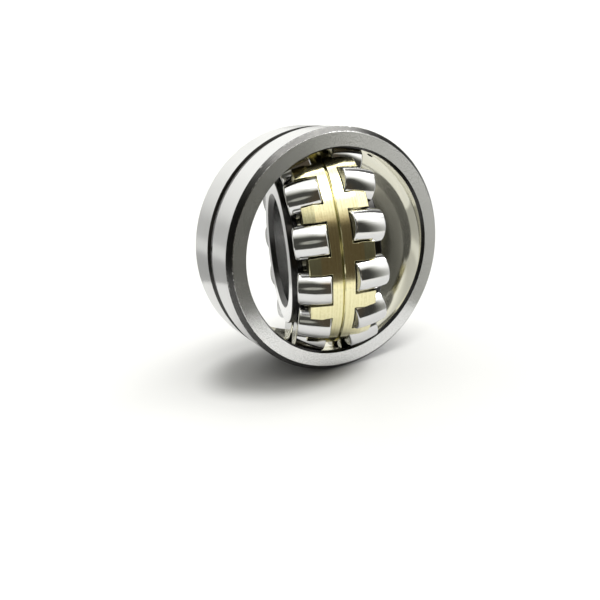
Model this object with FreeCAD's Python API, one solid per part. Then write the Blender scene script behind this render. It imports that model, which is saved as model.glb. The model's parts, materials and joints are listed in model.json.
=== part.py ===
import FreeCAD, Part
import math
import os
from FreeCAD import Vector

# Spherical roller bearing, 50 x 110 x 40 mm, lying with its inner assembly swivelled out of
# the outer ring. Millimetres, +Z up. The origin is the bearing's centre, which is the centre
# of the outer raceway's sphere. The outer ring's axis is Y. The inner ring, the cages and the
# rollers are drawn in line with the outer ring, then turned together about Z.

# ---- the bearing's main sizes
width = 40.0
outside_radius = 55.0
bore_radius = 25.0
swivel_angle = 72.4

# ---- outer ring
sphere_radius = 49.4
outer_chamfer = 2.2
outer_edge_blend = 0.3
mouth_radius = 46.76
mouth_edge_radius = 45.93
groove_width = 5.9
groove_floor_width = 4.7
groove_depth = 1.3
oil_hole_radius = 1.5
oil_hole_count = 3
first_oil_hole_angle = 38.8

# ---- rollers: barrels whose axes lean in toward the bearing's ends
roller_count = 13
roller_radius = 7.5
roller_length = 14.2
roller_barrel_radius = 48.0
roller_edge_radius = 0.8
roller_centre_radius = 41.8
contact_angle = 15.5
left_row_angle = 9.77
right_row_angle = 15.25

# ---- inner ring
track_clearance = 0.1
inner_barrel_radius = 48.6
bore_chamfer_length = 2.5
bore_chamfer_height = 1.7
rib_radius = 34.0
rib_edge_chamfer = 0.4
rib_end_gap = 0.3
land_radius = 35.7

# ---- guide ring between the two rows
guide_bore_clearance = 0.15
guide_outer_radius = 40.3
guide_side_gap = 0.12
guide_edge_chamfer = 0.3

# ---- comb cages
cage_split_gap = 0.1
cage_inner_radius = 40.6
cage_outer_radius = 45.4
cage_split_chamfer = 0.6
finger_end = 14.1
finger_taper_start = 9.2
finger_tip_outer_radius = 44.45
finger_tip_inner_radius = 38.2
finger_tip_chamfer = 0.25
cage_edge_blend = 0.15
pocket_radius = 8.15
pocket_tilt = 6.0
pocket_end_gap = 0.3
pocket_corner_radius = 0.5

ORIGIN = Vector(0, 0, 0)
X_AXIS = Vector(1, 0, 0)
Y_AXIS = Vector(0, 1, 0)
Z_AXIS = Vector(0, 0, 1)
half_width = width / 2
pitch_angle = 360.0 / roller_count
tilt = math.radians(contact_angle)


def sag(radius, half_chord):
    """How far an arc falls away from its crown at this distance to the side of it."""
    return radius - math.sqrt(radius**2 - half_chord**2)


def from_contact_line(outward, sideways):
    """(along, out) of a point measured along a roller's contact line and square to it."""
    along = outward * math.sin(tilt) + sideways * math.cos(tilt)
    out = outward * math.cos(tilt) - sideways * math.sin(tilt)
    return along, out


def roller_end_plane(sideways, out):
    """Distance along the axis where a plane square to the rollers passes a given radius."""
    return (sideways + out * math.sin(tilt)) / math.cos(tilt)


def turned(corners):
    """Solid turned about Y from a closed profile.

    A corner is (along, out). A corner with two more numbers is reached by an arc through them.
    """
    edges = []
    for start, end in zip(corners, corners[1:] + corners[:1]):
        first = Vector(0, start[0], start[1])
        last = Vector(0, end[0], end[1])
        if len(end) == 4:
            middle = Vector(0, end[2], end[3])
            edges.append(Part.Arc(first, middle, last).toShape())
        else:
            edges.append(Part.makeLine(first, last))
    face = Part.Face(Part.Wire(edges))
    return face.revolve(ORIGIN, Y_AXIS, 360)


def mirrored(corners):
    """The same corners on the other side of the bearing's middle plane, in reverse order."""
    return [(-corner[0], corner[1]) for corner in reversed(corners)]


def circles(shape, radius, along):
    """A turned solid's circular edges of this radius, at this distance either side of the middle."""
    found = []
    for edge in shape.Edges:
        curve = edge.Curve
        if not isinstance(curve, Part.Circle):
            continue
        same_radius = abs(curve.Radius - radius) < 0.001
        if same_radius and abs(abs(curve.Center.y) - along) < 0.001:
            found.append(edge)
    return found


def outer_ring():
    side_edge = outside_radius - outer_chamfer
    rim_edge = half_width - outer_chamfer
    floor_radius = outside_radius - groove_depth
    mouth_depth = math.sqrt(sphere_radius**2 - mouth_edge_radius**2)
    right_half = [
        (-mouth_depth, mouth_edge_radius),
        (-half_width, mouth_radius),
        (-half_width, side_edge),
        (-rim_edge, outside_radius),
        (-groove_width / 2, outside_radius),
        (-groove_floor_width / 2, floor_radius),
    ]
    left_half = mirrored(right_half)
    raceway = right_half[0] + (0, sphere_radius)
    ring = turned([raceway] + right_half[1:] + left_half)
    corners = circles(ring, outside_radius, rim_edge) + circles(ring, side_edge, half_width)
    ring = ring.makeFillet(outer_edge_blend, corners)
    for number in range(oil_hole_count):
        hole = Part.makeCylinder(oil_hole_radius, outside_radius + 1, ORIGIN, Z_AXIS)
        hole.rotate(ORIGIN, Y_AXIS, first_oil_hole_angle + number * 360.0 / oil_hole_count)
        ring = ring.cut(hole)
    return ring


def inner_ring():
    track_radius = roller_centre_radius - roller_radius - track_clearance
    rib_sideways = roller_length / 2 + rib_end_gap
    rib_foot = from_contact_line(track_radius + sag(inner_barrel_radius, rib_sideways), rib_sideways)
    track_crown = from_contact_line(track_radius, 0)
    # the raceway's arc runs on until it reaches the land between the rows
    centre = from_contact_line(track_radius + inner_barrel_radius, 0)
    land_edge = centre[0] - math.sqrt(inner_barrel_radius**2 - (centre[1] - land_radius) ** 2)
    rib_top = roller_end_plane(rib_sideways, rib_radius)
    left_half = [
        (half_width - bore_chamfer_length, bore_radius),
        (half_width, bore_radius + bore_chamfer_height),
        (half_width, rib_radius - rib_edge_chamfer),
        (half_width - rib_edge_chamfer, rib_radius),
        (rib_top, rib_radius),
        rib_foot,
        (land_edge, land_radius) + track_crown,
    ]
    right_half = mirrored(left_half)
    right_half[1] = right_half[1] + (-track_crown[0], track_crown[1])
    return turned(left_half + right_half)


def guide_ring():
    sideways = -(roller_length / 2 + guide_side_gap)
    bore = land_radius + guide_bore_clearance
    rim = guide_outer_radius - guide_edge_chamfer
    half = [
        (-roller_end_plane(sideways, bore), bore),
        (-roller_end_plane(sideways, rim), rim),
        (-roller_end_plane(sideways, rim) + guide_edge_chamfer, guide_outer_radius),
    ]
    return turned(half + mirrored(half))


def pocket(side):
    """Cutter for one cage pocket, round the roller that sits on +Z."""
    centre = from_contact_line(roller_centre_radius, 0)
    middle = Vector(0, side * centre[0], centre[1])
    lean = math.radians(pocket_tilt)
    bore_direction = Vector(0, side * math.cos(lean), -math.sin(lean))
    start = middle - bore_direction * roller_length
    bore = Part.makeCylinder(pocket_radius, 2 * roller_length, start, bore_direction)
    # the pocket's floor is square to the roller
    size = 4 * roller_length
    keep = Part.makeBox(size, size, size, Vector(-size / 2, 0, -size / 2))
    keep.translate(Vector(0, -(roller_length / 2 + pocket_end_gap), 0))
    keep.rotate(ORIGIN, X_AXIS, -contact_angle)
    if side < 0:
        keep = keep.mirror(ORIGIN, Y_AXIS)
    keep.translate(middle)
    cutter = bore.common(keep)
    floor = min(cutter.Faces, key=lambda face: side * face.CenterOfMass.y)
    return cutter.makeFillet(pocket_corner_radius, floor.Edges)


def pocket_rims(comb, side):
    """The edges that the pockets leave round the cage's outside."""
    taper_length = finger_end - finger_tip_chamfer - finger_taper_start
    taper = (cage_outer_radius - finger_tip_outer_radius) / taper_length
    found = []
    for edge in comb.Edges:
        if isinstance(edge.Curve, (Part.Circle, Part.Line)):
            continue
        middle = edge.valueAt((edge.FirstParameter + edge.LastParameter) / 2)
        past_start = max(0, side * middle.y - finger_taper_start)
        outside = cage_outer_radius - taper * past_start
        if abs(math.hypot(middle.x, middle.z) - outside) < 0.001:
            found.append(edge)
    return found


def cage(side, row_angle):
    floor = -(roller_length / 2 + pocket_end_gap)
    corners = [
        (cage_split_gap, cage_inner_radius),
        (roller_end_plane(floor, cage_inner_radius), cage_inner_radius),
        (finger_end, finger_tip_inner_radius),
        (finger_end, finger_tip_outer_radius - finger_tip_chamfer),
        (finger_end - finger_tip_chamfer, finger_tip_outer_radius),
        (finger_taper_start, cage_outer_radius),
        (cage_split_gap + cage_split_chamfer, cage_outer_radius),
        (cage_split_gap, cage_outer_radius - cage_split_chamfer),
    ]
    comb = turned([(side * along, out) for along, out in corners])
    for number in range(roller_count):
        cutter = pocket(side)
        cutter.rotate(ORIGIN, Y_AXIS, row_angle + number * pitch_angle)
        comb = comb.cut(cutter)
    return comb.makeFillet(cage_edge_blend, pocket_rims(comb, side))


def roller(side, angle):
    half = roller_length / 2
    shoulder = half - roller_edge_radius
    edge = roller_radius - sag(roller_barrel_radius, shoulder)
    bend = roller_edge_radius * (1 - math.sqrt(0.5))
    barrel = turned([
        (-half, 0),
        (-half, edge - roller_edge_radius),
        (-shoulder, edge, -half + bend, edge - bend),
        (shoulder, edge, 0, roller_radius),
        (half, edge - roller_edge_radius, half - bend, edge - bend),
        (half, 0),
    ])
    along, out = from_contact_line(roller_centre_radius, 0)
    barrel.rotate(ORIGIN, X_AXIS, -side * contact_angle)
    barrel.translate(Vector(0, side * along, out))
    barrel.rotate(ORIGIN, Y_AXIS, angle)
    return barrel


def swivelled(shape):
    """The shape turned with the rest of the inner assembly into its stored place."""
    turned_out = shape.copy()
    turned_out.rotate(ORIGIN, Z_AXIS, swivel_angle)
    return turned_out


os.makedirs("parts", exist_ok=True)
rows = {"left": (1, left_row_angle), "right": (-1, right_row_angle)}
nodes = {
    "outer_ring": outer_ring(),
    "inner_ring": swivelled(inner_ring()),
    "guide_ring": swivelled(guide_ring()),
}
for name, (side, row_angle) in rows.items():
    nodes["cage_" + name] = swivelled(cage(side, row_angle))
    for number in range(roller_count):
        angle = row_angle + number * pitch_angle
        nodes["roller_{}_{:02d}".format(name, number + 1)] = swivelled(roller(side, angle))

for name, shape in nodes.items():
    if not shape.isValid():
        raise ValueError(name + " is not a valid solid")
    shape.exportStep("parts/" + name + ".step")
    print(name, len(shape.Solids), round(shape.Volume, 1))
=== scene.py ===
import json
import math

import bpy
import numpy as np
from mathutils import Matrix, Vector


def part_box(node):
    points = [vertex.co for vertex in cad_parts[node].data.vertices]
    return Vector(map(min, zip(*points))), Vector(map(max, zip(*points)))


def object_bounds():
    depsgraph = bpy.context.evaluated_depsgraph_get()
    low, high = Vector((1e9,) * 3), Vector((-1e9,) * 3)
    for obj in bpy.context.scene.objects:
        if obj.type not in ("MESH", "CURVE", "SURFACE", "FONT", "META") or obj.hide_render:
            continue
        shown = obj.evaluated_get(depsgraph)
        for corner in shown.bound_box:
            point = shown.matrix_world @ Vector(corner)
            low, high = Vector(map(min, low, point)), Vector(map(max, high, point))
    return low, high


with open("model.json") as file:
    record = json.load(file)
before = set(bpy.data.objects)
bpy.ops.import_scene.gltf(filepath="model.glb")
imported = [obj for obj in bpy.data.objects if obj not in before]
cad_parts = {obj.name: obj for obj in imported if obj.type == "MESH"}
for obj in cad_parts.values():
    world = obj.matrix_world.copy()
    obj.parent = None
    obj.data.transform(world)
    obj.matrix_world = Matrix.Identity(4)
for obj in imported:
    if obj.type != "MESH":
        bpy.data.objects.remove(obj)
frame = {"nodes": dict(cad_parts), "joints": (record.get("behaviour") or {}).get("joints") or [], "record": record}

# A spherical roller bearing in a plain studio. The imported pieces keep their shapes. This script
# gives each of their surfaces its own metal, and adds a floor, the light and a camera.

cad_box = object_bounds()

record = frame["record"]
nodes = frame["nodes"]

# ---------------------------------------------------------------- sizes that tell surfaces apart
# Metres, measured from each piece's own turning axis and from the bearing's middle plane.
outer_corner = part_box("outer_ring")[1]
HALF_WIDTH = outer_corner.y
OUTSIDE_RADIUS = outer_corner.z
SPHERE_RADIUS = 0.0494
MOUTH_RADIUS = 0.04676
CHAMFER = 0.0022
# The rounded edge between the outside and each chamfer
EDGE_BLEND = 0.00014
GROOVE_HALF_WIDTH = 0.00295
GROOVE_FLOOR_HALF_WIDTH = 0.00235
GROOVE_DEPTH = 0.0013
OIL_HOLE_RADIUS = 0.0015
BORE_RADIUS = 0.025
BORE_CHAMFER_LENGTH = 0.0025
BORE_CHAMFER_HEIGHT = 0.0017
# The inner ring's tracks are bright up to here, just short of the ribs, which carry painted shade
INNER_TRACK_END = 0.0150
# A little less than the radius of the cages' finger tips
CAGE_OUTSIDE = 0.04435
ROLLER_HALF_LENGTH = 0.0071
# A face's centre may be this far inside a round surface, and this far from a plane or an edge
FACET_SAG = 0.0001
SLACK = 0.00006

# Where each vertex is, measured from the axis that its piece was turned about
LATHE = "lathe"

# ---------------------------------------------------------------- camera, floor and light
CAMERA_PLACE = (-0.14807, -0.26342, 0.07247)
CAMERA_RIGHT = (0.87440, -0.47856, -0.08006)
CAMERA_UP = (0.21603, 0.23622, 0.94738)
SENSOR_WIDTH = 36
LENS = 39.289
CLIP_START = 0.01

FLOOR_LOW = (-3.0, -3.0)
FLOOR_HIGH = (3.0, 3.0)
FLOOR_DROP = 0.00002
NEAR_FLOOR_LOW = (-0.25, -0.105)
NEAR_FLOOR_HIGH = (0.075, 0.13)
# A painted shadow: the darker patch of floor, giving off no light, where the outer ring rests
PAINTED_SHADOW_CENTRE_X = -0.024
PAINTED_SHADOW_REACH_X = 0.036
PAINTED_SHADOW_REACH_Y = 0.028

OVERHEAD_LAMP = 6.5
TABLE_LIGHT = 1.12
SEEN_BACKGROUND = 1.1
SKY_TINT = [1.0, 1.0, 0.965, 1]
TABLE_TINT = [1.015, 1.0, 0.945, 1]
ROOM_TINT = [1.0, 1.0, 0.86, 1]
WARM_ROOM_TINT = [1.24, 1.0, 0.68, 1]


def make_camera():
    """A camera in front of the bearing, to its left and a little above it."""
    data = bpy.data.cameras.new("camera")
    camera = bpy.data.objects.new("camera", data)
    bpy.context.scene.collection.objects.link(camera)
    right = Vector(CAMERA_RIGHT).normalized()
    up = Vector(CAMERA_UP).normalized()
    back = right.cross(up)
    turn = Matrix((right, up, back)).transposed()
    camera.matrix_world = Matrix.Translation(CAMERA_PLACE) @ turn.to_4x4()
    data.sensor_width = SENSOR_WIDTH
    data.lens = LENS
    data.clip_start = CLIP_START
    bpy.context.scene.camera = camera


def grey(tone):
    """A neutral colour of this brightness."""
    return [tone, tone, tone, 1]


# ---------------------------------------------------------------- node graphs
class Graph:
    """A node tree, with short calls for the nodes that the materials and the light are made of."""

    def __init__(self, tree):
        self.tree = tree

    def node(self, kind, **settings):
        made = self.tree.nodes.new("ShaderNode" + kind)
        for name, value in settings.items():
            setattr(made, name, value)
        return made

    def connect(self, value, socket):
        """Links an output to a socket, or sets the socket to a plain number or colour."""
        if isinstance(value, bpy.types.NodeSocket):
            self.tree.links.new(value, socket)
        else:
            socket.default_value = value

    def math(self, operation, *values):
        made = self.node("Math", operation=operation)
        for value, socket in zip(values, made.inputs):
            self.connect(value, socket)
        return made.outputs[0]

    def add(self, first, second):
        return self.math("ADD", first, second)

    def subtract(self, first, second):
        return self.math("SUBTRACT", first, second)

    def product(self, *values):
        total = values[0]
        for value in values[1:]:
            total = self.math("MULTIPLY", total, value)
        return total

    def off(self, value, middle):
        """How far a value is from the middle, to either side."""
        return self.math("ABSOLUTE", self.subtract(value, middle))

    def distance(self, across, along):
        """The length of a line that runs this far each way."""
        squares = self.add(self.product(across, across), self.product(along, along))
        return self.math("SQRT", squares)

    def smooth(self, value, low, high, start=0.0, end=1.0):
        """A smooth step from start at low to end at high."""
        made = self.node("MapRange", interpolation_type="SMOOTHSTEP")
        for number, socket in zip((value, low, high, start, end), made.inputs):
            self.connect(number, socket)
        return made.outputs[0]

    def fall(self, value, low, high):
        """A smooth step from one at low down to nothing at high."""
        return self.smooth(value, low, high, 1.0, 0.0)

    def mix(self, factor, first, second):
        """One colour turning into another."""
        made = self.node("Mix", data_type="RGBA")
        self.connect(factor, made.inputs[0])
        self.connect(first, made.inputs[6])
        self.connect(second, made.inputs[7])
        return made.outputs[2]

    def blend(self, factor, first, second):
        """One number turning into another."""
        made = self.node("Mix", data_type="FLOAT")
        self.connect(factor, made.inputs[0])
        self.connect(first, made.inputs[2])
        self.connect(second, made.inputs[3])
        return made.outputs[0]

    def combine(self, x, y, z):
        made = self.node("CombineXYZ")
        for value, socket in zip((x, y, z), made.inputs):
            self.connect(value, socket)
        return made.outputs[0]

    def separate(self, vector):
        made = self.node("SeparateXYZ")
        self.connect(vector, made.inputs[0])
        return made.outputs

    def noise(self, vector, scale, detail=2.0, roughness=0.5):
        made = self.node("TexNoise")
        self.connect(vector, made.inputs["Vector"])
        made.inputs["Scale"].default_value = scale
        made.inputs["Detail"].default_value = detail
        made.inputs["Roughness"].default_value = roughness
        return made.outputs["Fac"]

    def bump(self, height, distance, normal=None):
        made = self.node("Bump")
        made.inputs["Strength"].default_value = 1.0
        made.inputs["Distance"].default_value = distance
        self.connect(height, made.inputs["Height"])
        if normal is not None:
            self.connect(normal, made.inputs["Normal"])
        return made.outputs[0]


class Metal(Graph):
    """A metal surface, with the coordinates of the lathe it was turned or ground on."""

    def __init__(self, name):
        self.material = bpy.data.materials.new(name)
        self.material.use_nodes = True
        super().__init__(self.material.node_tree)
        self.shader = self.tree.nodes["Principled BSDF"]
        self.shader.inputs["Metallic"].default_value = 1.0
        self.place = self.node("Attribute", attribute_name=LATHE).outputs["Vector"]
        x, y, z = self.separate(self.place)
        self.radius = self.distance(x, y)
        self.along = z
        self.angle = self.math("ARCTAN2", y, x)

    def rings(self, spacing, detail=3.0):
        """Lines left by a tool or a wheel, which run round the axis at this spacing."""
        profile = self.combine(self.radius, self.along, 0.0)
        return self.noise(profile, 1.0 / spacing, detail, 0.65)

    def streaks(self, width, share_of_turn):
        """Marks of this width, stretched round the axis over this share of a turn."""
        turn_size = width / share_of_turn
        round_x = self.product(self.math("COSINE", self.angle), turn_size)
        round_y = self.product(self.math("SINE", self.angle), turn_size)
        # one number that changes across a flat side and across a rim alike
        profile = self.add(self.radius, self.product(self.along, 1.31))
        return self.noise(self.combine(round_x, round_y, profile), 1.0 / width, 2.0, 0.6)

    def nicks(self):
        """Short, thin, rare scratches that cross the surface in two directions."""
        found = None
        for turn in (0.5, 2.1):
            # the noise is stretched into cells about 3.8 mm long and 0.19 mm wide
            mapping = self.node("Mapping")
            mapping.inputs["Rotation"].default_value = (turn * 0.4, turn * 0.7, turn)
            mapping.inputs["Scale"].default_value = (260.0, 5200.0, 5200.0)
            self.connect(self.place, mapping.inputs["Vector"])
            lines = self.smooth(self.noise(mapping.outputs[0], 1.0, 1.0), 0.72, 0.78)
            rare = self.smooth(self.noise(self.place, 140.0 + 30.0 * turn, 1.0), 0.50, 0.60)
            lines = self.product(lines, rare)
            found = lines if found is None else self.math("MAXIMUM", found, lines)
        return found

    def finish(self, colour, roughness, normal):
        self.connect(colour, self.shader.inputs["Base Color"])
        self.connect(roughness, self.shader.inputs["Roughness"])
        self.connect(normal, self.shader.inputs["Normal"])
        return self.material


# ---------------------------------------------------------------- materials
# Spacings and depths are in metres, and a noise's scale is in cells to the metre. A roughness
# that is given to a material is a pair, (least, most).
def ground_steel(name, tone, roughness, spacing, depth, grain=0.0):
    """Steel from a grinding wheel: fine rings, cloudy gloss and a few scratches round it.

    Given the depth of its grain, it is also pitted and nicked from handling.
    """
    metal = Metal(name)
    rings = metal.rings(spacing)
    clouds = metal.noise(metal.place, 160.0, 3.0)
    colour = metal.mix(clouds, grey(tone * 0.93), [tone, tone, tone * 1.005, 1])
    scratches = metal.smooth(metal.streaks(0.00035, 0.10), 0.66, 0.74)
    colour = metal.mix(metal.product(scratches, 0.35), colour, grey(tone * 1.12))
    unevenness = metal.math("MULTIPLY_ADD", rings, 0.6, metal.product(clouds, 0.4))
    normal = metal.bump(rings, depth)
    if grain:
        speckle = metal.noise(metal.place, 1500.0, 2.0)
        pits = metal.fall(speckle, 0.36, 0.58)
        colour = metal.mix(metal.product(pits, 0.46), colour, grey(tone * 0.55))
        normal = metal.bump(speckle, grain, normal)
        nicks = metal.nicks()
        colour = metal.mix(metal.product(nicks, 0.5), colour, grey(tone * 0.45))
        normal = metal.bump(nicks, -0.00001, normal)
    return metal.finish(colour, metal.blend(unevenness, *roughness), normal)


def across_the_grind(material, amount):
    """Spreads the gloss of a ring ground about Y across its grinding lines."""
    graph = Graph(material.node_tree)
    shader = material.node_tree.nodes["Principled BSDF"]
    tangent = graph.node("Tangent", direction_type="RADIAL", axis="Y")
    graph.connect(tangent.outputs[0], shader.inputs["Tangent"])
    shader.inputs["Anisotropic"].default_value = amount
    shader.inputs["Anisotropic Rotation"].default_value = 0.25
    return material


def dark_steel_and_painted_shade(name, tone, middle=None, reach=None):
    """Dark turned steel. On the chamfers, the mouth and the outer ring's edge it is the dark left by hardening; in
    the oil holes, on the groove walls and on the inner ring's ribs the dark is painted shade.

    Given a middle radius and how far the surface reaches to each side of it, it is chipped
    bright along its two edges.
    """
    metal = Metal(name)
    rings = metal.rings(0.00018, 2.0)
    clouds = metal.noise(metal.place, 400.0, 3.0)
    darkest = [tone * 0.7, tone * 0.7, tone * 0.72, 1]
    palest = [tone * 1.25, tone * 1.22, tone * 1.18, 1]
    colour = metal.mix(clouds, darkest, palest)
    if middle:
        edge = metal.smooth(metal.off(metal.radius, middle), reach * 0.55, reach)
        chips = metal.smooth(metal.noise(metal.place, 1100.0, 3.0, 0.6), 0.52, 0.60)
        patches = metal.smooth(metal.noise(metal.place, 75.0, 2.0), 0.50, 0.62)
        amount = metal.math("MULTIPLY_ADD", patches, 0.8, 0.2)
        colour = metal.mix(metal.product(edge, chips, amount), colour, [0.70, 0.70, 0.69, 1])
    return metal.finish(colour, metal.blend(rings, 0.20, 0.34), metal.bump(rings, 0.000006))


def honed_raceway(name):
    """Steel polished by honing, slightly warm, with faint rings."""
    metal = Metal(name)
    rings = metal.rings(0.00045, 2.0)
    clouds = metal.noise(metal.place, 120.0, 3.0)
    colour = metal.mix(clouds, [0.600, 0.587, 0.490, 1], [0.660, 0.645, 0.545, 1])
    return metal.finish(colour, metal.blend(rings, 0.05, 0.11), metal.bump(rings, 0.0000012))


def polished_roller(name):
    """A roller's barrel: bright steel with almost no lines left in it."""
    metal = Metal(name)
    rings = metal.rings(0.00022)
    clouds = metal.noise(metal.place, 260.0, 3.0)
    colour = metal.mix(clouds, [0.66, 0.66, 0.665, 1], [0.74, 0.74, 0.745, 1])
    unevenness = metal.math("MULTIPLY_ADD", rings, 0.5, metal.product(clouds, 0.5))
    return metal.finish(colour, metal.blend(unevenness, 0.07, 0.16), metal.bump(rings, 0.0000006))


def roller_end(name):
    """A roller's flat end, with the rings of its turning in plain sight."""
    metal = Metal(name)
    rings = metal.rings(0.00025)
    colour = metal.mix(rings, grey(0.42), grey(0.62))
    return metal.finish(colour, metal.blend(rings, 0.18, 0.34), metal.bump(rings, 0.000004))


def turned_brass(name, spacing, depth, roughness):
    """Brass with the fine lines of a lathe tool, dull streaks and mottled, darker bands."""
    metal = Metal(name)
    rings = metal.rings(spacing)
    clouds = metal.noise(metal.place, 110.0, 3.0)
    colour = metal.mix(clouds, [0.88, 0.825, 0.50, 1], [0.93, 0.88, 0.58, 1])
    streaks = metal.smooth(metal.streaks(0.0005, 0.25), 0.45, 0.75)
    colour = metal.mix(metal.product(streaks, 0.35), colour, [0.76, 0.67, 0.38, 1])
    bands = metal.rings(0.0007, 2.0)
    mottle = metal.noise(metal.place, 900.0, 2.0)
    worn = metal.product(metal.smooth(bands, 0.58, 0.40), metal.smooth(mottle, 0.30, 0.60))
    colour = metal.mix(metal.product(worn, 0.24), colour, [0.54, 0.46, 0.21, 1])
    normal = metal.bump(bands, 0.000006, metal.bump(mottle, 0.000008))
    return metal.finish(colour, metal.blend(rings, *roughness), metal.bump(rings, depth, normal))


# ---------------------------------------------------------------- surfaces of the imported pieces
def set_lathe(piece, centre, axis):
    """Keeps each vertex's place in a frame whose Z is the axis that the piece was turned about."""
    turn = np.array(Vector(axis).normalized().to_track_quat("Z", "Y").to_matrix())
    place = np.zeros(len(piece.data.vertices) * 3, np.float32)
    piece.data.vertices.foreach_get("co", place)
    local = (place.reshape(-1, 3) - np.array(centre)) @ turn
    store = piece.data.attributes.new(LATHE, "FLOAT_VECTOR", "POINT")
    store.data.foreach_set("vector", local.astype(np.float32).ravel())


def face_places(piece):
    """Each face's centre in lathe coordinates: its radius, its place along, and its width along."""
    place = np.zeros(len(piece.data.vertices) * 3, np.float32)
    piece.data.attributes[LATHE].data.foreach_get("vector", place)
    place = place.reshape(-1, 3)
    faces = [list(face.vertices) for face in piece.data.polygons]
    centres = np.array([place[corners].mean(0) for corners in faces])
    widths = np.array([np.ptp(place[corners], axis=0)[2] for corners in faces])
    return np.hypot(centres[:, 0], centres[:, 1]), centres[:, 2], widths


def paint(piece, surfaces):
    """Gives each face the material of the first surface that it belongs to.

    surfaces is a list of (material, test). A test takes the faces' radii r, their distances a
    from the middle plane and their widths w along the axis. The last test is None: it takes
    the rest.
    """
    radius, along, width = face_places(piece)
    chosen = np.full(len(radius), len(surfaces) - 1)
    for number, (_, belongs) in reversed(list(enumerate(surfaces[:-1]))):
        chosen[belongs(radius, np.abs(along), width)] = number
    piece.data.materials.clear()
    for material, _ in surfaces:
        piece.data.materials.append(material)
    piece.data.polygons.foreach_set("material_index", chosen.astype(np.int32))


def joint_line(name):
    """A point on the joint's axis and the axis's direction."""
    found = next(joint for joint in frame["joints"] if joint["name"] == name)
    return found["pos_m"], found["axis"]


def dress_outer_ring():
    """Ground sides, outside and groove, dark chamfers, groove walls and oil holes with painted shade, a honed
    sphere inside.
    """
    ring = nodes["outer_ring"]
    seat = next(mount for mount in record["mounts"] if mount["name"] == "outer_seat")
    set_lathe(ring, seat["pos_m"], seat["axis"])

    groove_floor_radius = OUTSIDE_RADIUS - GROOVE_DEPTH
    chamfer_start = HALF_WIDTH - CHAMFER
    blend_start = chamfer_start - EDGE_BLEND
    chamfer_middle = OUTSIDE_RADIUS - CHAMFER / 2
    side = ground_steel("ring_side", 0.89, (0.20, 0.30), 0.00016, 0.0000016, 0.000011)
    outside = ground_steel("ring_outside", 0.60, (0.10, 0.19), 0.00022, 0.0000010)
    paint(ring, [
        # painted shade: the oil holes' walls are nearly black, as shade inside the holes
        (dark_steel_and_painted_shade("oil_hole_painted_shade", 0.05),
         lambda r, a, w: (a < OIL_HOLE_RADIUS) & (r > SPHERE_RADIUS + SLACK)
         & (r < groove_floor_radius - SLACK)),
        (across_the_grind(side, 0.75),
         lambda r, a, w: (a > HALF_WIDTH - SLACK) & (w < SLACK)),
        (across_the_grind(outside, 0.75),
         lambda r, a, w: (r > OUTSIDE_RADIUS - FACET_SAG) & (a > GROOVE_HALF_WIDTH) & (a < blend_start)),
        (ground_steel("groove_floor", 0.58, (0.30, 0.44), 0.00018, 0.000003),
         lambda r, a, w: (np.abs(r - groove_floor_radius) < FACET_SAG)
         & (a < GROOVE_FLOOR_HALF_WIDTH + SLACK)),
        # painted shade: the groove's walls are nearly black, as shade in the groove; its floor is lighter
        (dark_steel_and_painted_shade("groove_wall_painted_shade", 0.07),
         lambda r, a, w: (r > groove_floor_radius) & (a < GROOVE_HALF_WIDTH + SLACK)),
        (dark_steel_and_painted_shade("ring_edge", 0.10),
         lambda r, a, w: (r > OUTSIDE_RADIUS - FACET_SAG) & (a > blend_start)),
        (dark_steel_and_painted_shade("ring_chamfer", 0.08, chamfer_middle, CHAMFER / 2),
         lambda r, a, w: (r > MOUTH_RADIUS + SLACK) & (a > chamfer_start - SLACK)),
        (honed_raceway("raceway"),
         lambda r, a, w: np.abs(np.hypot(r, a) - SPHERE_RADIUS) < 2 * SLACK),
        (dark_steel_and_painted_shade("ring_mouth", 0.05), None),
    ])


def dress_inner_ring():
    """Ground sides and bore, dark chamfers, ribs painted dark as the shade between the ring and the rollers, honed
    tracks.
    """
    ring = nodes["inner_ring"]
    set_lathe(ring, *joint_line("inner_spin"))
    chamfer_radius = BORE_RADIUS + BORE_CHAMFER_HEIGHT
    chamfer_start = HALF_WIDTH - BORE_CHAMFER_LENGTH
    paint(ring, [
        (ground_steel("inner_side", 0.80, (0.18, 0.28), 0.00016, 0.000002),
         lambda r, a, w: (a > HALF_WIDTH - SLACK) & (w < SLACK)),
        (ground_steel("bore", 0.76, (0.12, 0.22), 0.00020, 0.000001),
         lambda r, a, w: r < BORE_RADIUS + SLACK),
        (dark_steel_and_painted_shade("inner_chamfer", 0.06),
         lambda r, a, w: (r < chamfer_radius + SLACK) & (a > chamfer_start - SLACK)),
        # painted shade: the ribs are nearly black, as the shade between the inner ring and the rollers
        (dark_steel_and_painted_shade("rib_painted_shade", 0.05),
         lambda r, a, w: a > INNER_TRACK_END),
        (honed_raceway("inner_track"), None),
    ])


def dress_guide_ring():
    """Plain ground steel all over."""
    ring = nodes["guide_ring"]
    set_lathe(ring, *joint_line("inner_spin"))
    paint(ring, [(ground_steel("guide", 0.42, (0.24, 0.38), 0.00020, 0.000002), None)])


def dress_cages():
    """Finely turned outside, rougher in the pockets and on the inside."""
    outside = turned_brass("cage_outside", 0.00016, 0.0000022, (0.10, 0.20))
    inside = turned_brass("cage_pocket", 0.00030, 0.0000020, (0.18, 0.30))
    for name in ("cage_left", "cage_right"):
        set_lathe(nodes[name], *joint_line(name + "_spin"))
        paint(nodes[name], [
            (outside, lambda r, a, w: r > CAGE_OUTSIDE),
            (inside, None),
        ])


def dress_rollers():
    """Polished barrels with turned ends."""
    barrel = polished_roller("roller_barrel")
    end = roller_end("roller_end")
    for name, piece in nodes.items():
        if name.startswith("roller"):
            set_lathe(piece, *joint_line(name + "_spin"))
            paint(piece, [
                (end, lambda r, a, w: (a > ROLLER_HALF_LENGTH - SLACK) & (w < SLACK)),
                (barrel, None),
            ])


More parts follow.
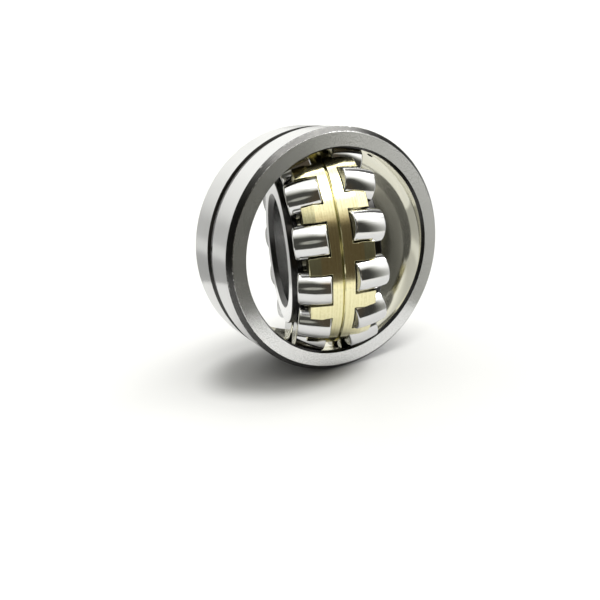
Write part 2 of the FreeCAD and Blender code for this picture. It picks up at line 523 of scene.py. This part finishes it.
# ---------------------------------------------------------------- floor
def make_table(name, low, high, height, material):
    """A flat rectangle between two corners, at this height, that isn't part of the bearing."""
    mesh = bpy.data.meshes.new(name)
    corners = [(low[0], low[1]), (high[0], low[1]), (high[0], high[1]), (low[0], high[1])]
    mesh.from_pydata([(x, y, height) for x, y in corners], [], [(0, 1, 2, 3)])
    mesh.materials.append(material)
    table = bpy.data.objects.new(name, mesh)
    bpy.context.scene.collection.objects.link(table)
    return table


def floor_material():
    """Matt white that gives off a little light, with a painted shadow where the outer ring rests on it: darker
    there and giving off no light.
    """
    material = bpy.data.materials.new("table")
    material.use_nodes = True
    graph = Graph(material.node_tree)
    shader = material.node_tree.nodes["Principled BSDF"]
    place = graph.node("TexCoord").outputs["Object"]
    x, y, _ = graph.separate(place)
    across = graph.math("DIVIDE", graph.subtract(x, PAINTED_SHADOW_CENTRE_X), PAINTED_SHADOW_REACH_X)
    deep = graph.math("DIVIDE", y, PAINTED_SHADOW_REACH_Y)
    # painted shadow: inside the oval under the outer ring the floor is grey 0.40 and gives off no light
    outside_painted_shadow = graph.smooth(graph.distance(across, deep), 0.7, 1.3)
    pale = graph.mix(graph.noise(place, 6.0, 2.0), grey(0.57), grey(0.61))
    graph.connect(graph.mix(outside_painted_shadow, grey(0.40), pale), shader.inputs["Base Color"])
    graph.connect(graph.product(outside_painted_shadow, 0.17), shader.inputs["Emission Strength"])
    shader.inputs["Emission Color"].default_value = (1.0, 1.0, 1.0, 1.0)
    shader.inputs["Roughness"].default_value = 0.9
    shader.inputs["Specular IOR Level"].default_value = 0.1
    return material


def make_floor():
    """A wide pale table that the outer ring stands on. The metal mirrors only the near part of it."""
    material = floor_material()
    height = cad_box[0].z
    floor = make_table("floor", FLOOR_LOW, FLOOR_HIGH, height - FLOOR_DROP, material)
    floor.visible_glossy = False
    make_table("near_floor", NEAR_FLOOR_LOW, NEAR_FLOOR_HIGH, height, material)


# ---------------------------------------------------------------- studio
class Studio(Graph):
    """The light round the bearing: a world that is brighter in some directions than in others.

    height is the angle above the horizon, and side is the angle round from the front (-Y)
    towards the right (+X), both in degrees. Each part from white_table to dim_room gives how
    much it covers what is behind it, its brightness, and its tint, or None to leave the tint.
    """

    def __init__(self, tree):
        super().__init__(tree)
        x, y, z = self.separate(self.node("TexCoord").outputs["Generated"])
        degree = 180.0 / math.pi
        self.height = self.product(self.math("ARCSINE", z), degree)
        self.side = self.product(self.math("ARCTAN2", x, self.product(y, -1.0)), degree)
        self.turned_back = self.math("ABSOLUTE", self.side)

    def soft_box(self):
        """White all round, brighter higher up and dimmer straight ahead, with a lamp overhead."""
        lamp_foot = self.smooth(self.side, 45.0, 75.0, 61.0, 38.0)
        lamp = self.product(
            self.smooth(self.side, -55.0, -35.0),
            self.fall(self.side, 85.0, 105.0),
            self.smooth(self.subtract(self.height, lamp_foot), 0.0, 9.0),
            self.fall(self.height, 74.0, 82.0),
        )
        sky = self.product(
            self.smooth(self.height, -10.0, 40.0, 1.05, 1.55),
            self.smooth(self.turned_back, 12.0, 40.0, 0.80, 1.0),
        )
        return self.math("MULTIPLY_ADD", lamp, OVERHEAD_LAMP, sky)

    def white_table(self):
        """The table below the horizon, past the edge of the near floor."""
        cover = self.fall(self.height, -31.0, -28.5)
        return cover, TABLE_LIGHT, TABLE_TINT

    def far_wall(self):
        """A grey wall far behind, with a pale strip along it."""
        wall_top = self.smooth(self.turned_back, 154.0, 170.0, 12.0, 26.0)
        cover = self.product(
            self.smooth(self.turned_back, 138.0, 148.0),
            self.smooth(self.height, -23.5, -22.0),
            self.fall(self.height, 5.0, wall_top),
        )
        wall = self.smooth(self.height, -14.0, -6.0, 0.54, 0.70)
        return cover, self.smooth(self.off(self.height, -6.0), 1.0, 4.5, 0.96, wall), None

    def doorway(self):
        """A dim doorway on the right, darker towards its top and paler low on its far side."""
        above_door = self.subtract(self.height, self.smooth(self.side, 94.0, 106.0, 28.0, 54.0))
        past_door = self.subtract(self.side, self.smooth(self.height, 0.0, 15.0, 114.0, 122.0))
        cover = self.product(
            self.smooth(self.side, 60.0, 66.0),
            self.fall(past_door, 0.0, 14.0),
            self.fall(above_door, 0.0, 12.0),
            self.smooth(self.height, -48.0, -40.0),
        )
        far_side = self.product(
            self.smooth(self.side, 98.0, 120.0, 0.0, 0.45),
            self.fall(self.height, 0.0, 15.0),
        )
        return cover, self.add(self.smooth(self.height, -40.0, 25.0, 0.29, 0.15), far_side), None

    def front_lamp(self):
        """A soft oval lamp in the dim room, brighter towards its rim."""
        across = self.math("DIVIDE", self.subtract(self.side, -37.0), 13.0)
        above = self.math("DIVIDE", self.subtract(self.height, 8.0), 9.0)
        distance = self.distance(across, above)
        return self.product(self.smooth(distance, 0.1, 0.6, 0.30, 0.46), self.fall(distance, 0.55, 1.1))

    def dim_room(self):
        """The room in front, whose right edge slants and whose top edge is softer on the left."""
        slant = self.math("MULTIPLY_ADD", self.height, -0.5, 53.0)
        right_end = self.math("MINIMUM", self.math("MAXIMUM", slant, 42.0), 78.0)
        top_start = self.smooth(self.side, -42.0, -22.0, 37.0, 32.0)
        top_end = self.smooth(self.side, -42.0, -22.0, 74.0, 54.0)
        cover = self.product(
            self.fall(self.side, 20.0, right_end),
            self.smooth(self.side, -118.0, -100.0),
            self.fall(self.height, top_start, top_end),
            self.smooth(self.height, -30.5, -28.5),
        )
        dusk = self.smooth(self.side, -5.0, 15.0, 0.072, 0.054)
        warm = self.fall(self.off(self.side, -8.0), 8.0, 22.0)
        return cover, self.add(self.front_lamp(), dusk), self.mix(warm, ROOM_TINT, WARM_ROOM_TINT)

    def light(self):
        """The brightness and the tint of the light from each direction."""
        strength = self.soft_box()
        tint = SKY_TINT
        for part in (self.white_table(), self.far_wall(), self.doorway(), self.dim_room()):
            cover, part_strength, part_tint = part
            strength = self.blend(cover, strength, part_strength)
            if part_tint is not None:
                tint = self.mix(cover, tint, part_tint)
        return strength, tint


def make_studio():
    """Lights the bearing with the studio, and shows the camera plain white behind it."""
    world = bpy.data.worlds.new("studio")
    world.use_nodes = True
    bpy.context.scene.world = world
    studio = Studio(world.node_tree)
    background = world.node_tree.nodes["Background"]
    strength, tint = studio.light()
    studio.connect(strength, background.inputs["Strength"])
    studio.connect(tint, background.inputs["Color"])

    seen = studio.node("Background")
    seen.inputs["Color"].default_value = (1.0, 1.0, 1.0, 1.0)
    seen.inputs["Strength"].default_value = SEEN_BACKGROUND
    choice = studio.node("MixShader")
    studio.connect(studio.node("LightPath").outputs["Is Camera Ray"], choice.inputs[0])
    studio.connect(background.outputs[0], choice.inputs[1])
    studio.connect(seen.outputs[0], choice.inputs[2])
    studio.connect(choice.outputs[0], world.node_tree.nodes["World Output"].inputs["Surface"])
    bpy.context.scene.view_settings.view_transform = "Standard"


make_camera()
dress_outer_ring()
dress_inner_ring()
dress_guide_ring()
dress_cages()
dress_rollers()
make_floor()
make_studio()
